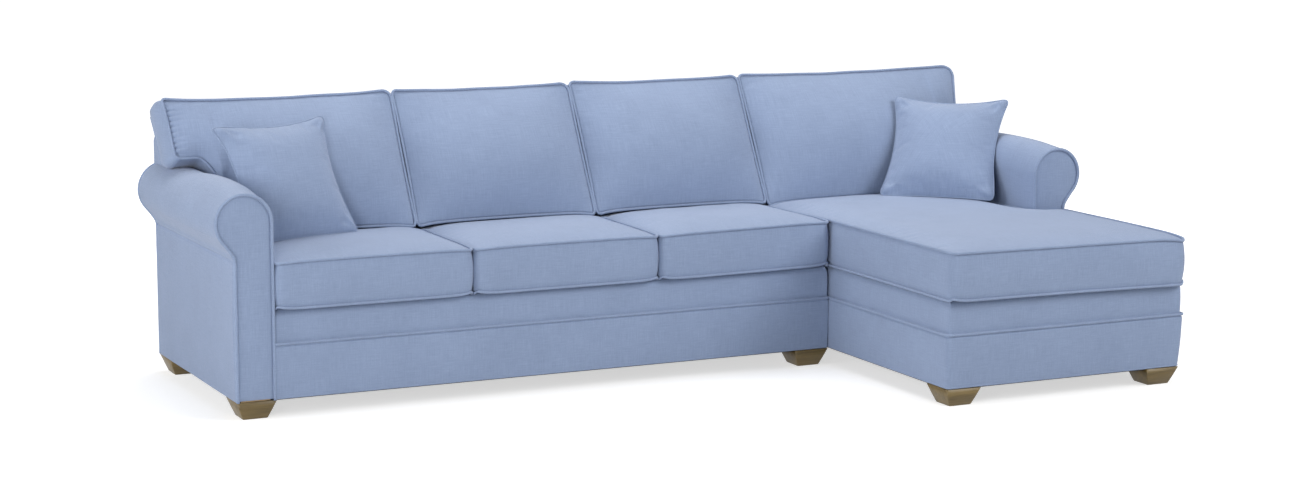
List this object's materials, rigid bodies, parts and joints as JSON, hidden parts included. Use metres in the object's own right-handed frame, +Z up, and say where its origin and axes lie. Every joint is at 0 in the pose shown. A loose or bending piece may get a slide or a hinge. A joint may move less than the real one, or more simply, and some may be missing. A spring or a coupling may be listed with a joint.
{
  "type": "sectional sofa",
  "caption": "Sectional sofa with rolled arms, boxed and welted seat and back cushions, a chaise at its right end, throw pillows and tapered wooden feet.",
  "frame": {"origin": "at the floor, under the middle of the sofa's bounding box", "axes": "+X along the back towards the chaise end, +Y towards the back, +Z up"},
  "size_m": [3.08, 1.6574, 0.925],
  "materials": {
    "cloth": "plain woven upholstery cloth, periwinkle blue",
    "frame_wood": "sawn and planed hardwood and plywood",
    "foot_wood": "stained hardwood, satin",
    "spring_steel": "oil-tempered spring wire",
    "bracket_steel": "zinc-plated pressed steel",
    "foam": "upholstery foam in a fibre wrap",
    "padding": "cotton and fibre padding",
    "lining": "black non-woven lining"
  },
  "bodies": {
    "sofa_section": {"sofa_front_rail": "frame_wood", "sofa_rear_rail": "frame_wood", "sofa_side_rails": "frame_wood", "sofa_corner_blocks": "frame_wood", "sofa_seat_springs": "spring_steel", "sofa_deck_pad": "cloth", "sofa_back_frame": "frame_wood", "sofa_inside_back": "cloth", "sofa_back_cover": "cloth", "sofa_lower_band": "cloth", "sofa_upper_band": "cloth", "left_arm_frame": "frame_wood", "left_arm_padding": "padding", "left_arm_cover": "cloth", "left_arm_facings": "cloth", "sofa_dust_cover": "lining", "sofa_feet": "foot_wood", "sofa_foot_bolts": "bracket_steel", "sofa_connectors": "bracket_steel"},
    "chaise_section": {"chaise_front_rail": "frame_wood", "chaise_rear_rail": "frame_wood", "chaise_side_rails": "frame_wood", "chaise_corner_blocks": "frame_wood", "chaise_seat_springs": "spring_steel", "chaise_deck_pad": "cloth", "chaise_back_frame": "frame_wood", "chaise_inside_back": "cloth", "chaise_back_cover": "cloth", "chaise_lower_band": "cloth", "chaise_upper_band": "cloth", "right_arm_frame": "frame_wood", "right_arm_padding": "padding", "right_arm_cover": "cloth", "right_arm_facings": "cloth", "chaise_dust_cover": "lining", "chaise_feet": "foot_wood", "chaise_foot_bolts": "bracket_steel", "chaise_connectors": "bracket_steel"},
    "seat_cushion_1": {"seat_cushion_1_cover": "cloth", "seat_cushion_1_core": "foam"},
    "seat_cushion_2": {"seat_cushion_2_cover": "cloth", "seat_cushion_2_core": "foam"},
    "seat_cushion_3": {"seat_cushion_3_cover": "cloth", "seat_cushion_3_core": "foam"},
    "chaise_cushion": {"chaise_cushion_cover": "cloth", "chaise_cushion_core": "foam"},
    "back_cushion_1": {"back_cushion_1_cover": "cloth", "back_cushion_1_core": "foam"},
    "back_cushion_2": {"back_cushion_2_cover": "cloth", "back_cushion_2_core": "foam"},
    "back_cushion_3": {"back_cushion_3_cover": "cloth", "back_cushion_3_core": "foam"},
    "back_cushion_4": {"back_cushion_4_cover": "cloth", "back_cushion_4_core": "foam"},
    "left_pillow": {"left_pillow_cover": "cloth", "left_pillow_insert": "foam"},
    "right_pillow": {"right_pillow_cover": "cloth", "right_pillow_insert": "foam"}
  },
  "joints": [
    {"name": "chaise_lift_off", "type": "slide", "parent": "sofa_section", "child": "chaise_section", "axis": [0, 0, 1], "range_m": [0, 0.06]},
    {"name": "seat_cushion_1_pull", "type": "slide", "parent": "sofa_section", "child": "seat_cushion_1", "axis": [0, -1, 0], "range_m": [0, 0.59]},
    {"name": "seat_cushion_2_pull", "type": "slide", "parent": "sofa_section", "child": "seat_cushion_2", "axis": [0, -1, 0], "range_m": [0, 0.59]},
    {"name": "seat_cushion_3_pull", "type": "slide", "parent": "sofa_section", "child": "seat_cushion_3", "axis": [0, -1, 0], "range_m": [0, 0.59]},
    {"name": "chaise_cushion_pull", "type": "slide", "parent": "chaise_section", "child": "chaise_cushion", "axis": [0, -1, 0], "range_m": [0, 1.36]},
    {"name": "back_cushion_1_lift", "type": "slide", "parent": "sofa_section", "child": "back_cushion_1", "axis": [0, 0.4462, 0.8949], "range_m": [0, 0.5]},
    {"name": "back_cushion_2_lift", "type": "slide", "parent": "sofa_section", "child": "back_cushion_2", "axis": [0, 0.4462, 0.8949], "range_m": [0, 0.5]},
    {"name": "back_cushion_3_lift", "type": "slide", "parent": "sofa_section", "child": "back_cushion_3", "axis": [0, 0.4462, 0.8949], "range_m": [0, 0.5]},
    {"name": "back_cushion_4_lift", "type": "slide", "parent": "chaise_section", "child": "back_cushion_4", "axis": [0, 0.4462, 0.8949], "range_m": [0, 0.5]},
    {"name": "left_pillow_lift", "type": "slide", "parent": "seat_cushion_1", "child": "left_pillow", "axis": [0, 0, 1], "range_m": [0, 0.45]},
    {"name": "right_pillow_lift", "type": "slide", "parent": "chaise_cushion", "child": "right_pillow", "axis": [0, 0, 1], "range_m": [0, 0.45]}
  ]
}
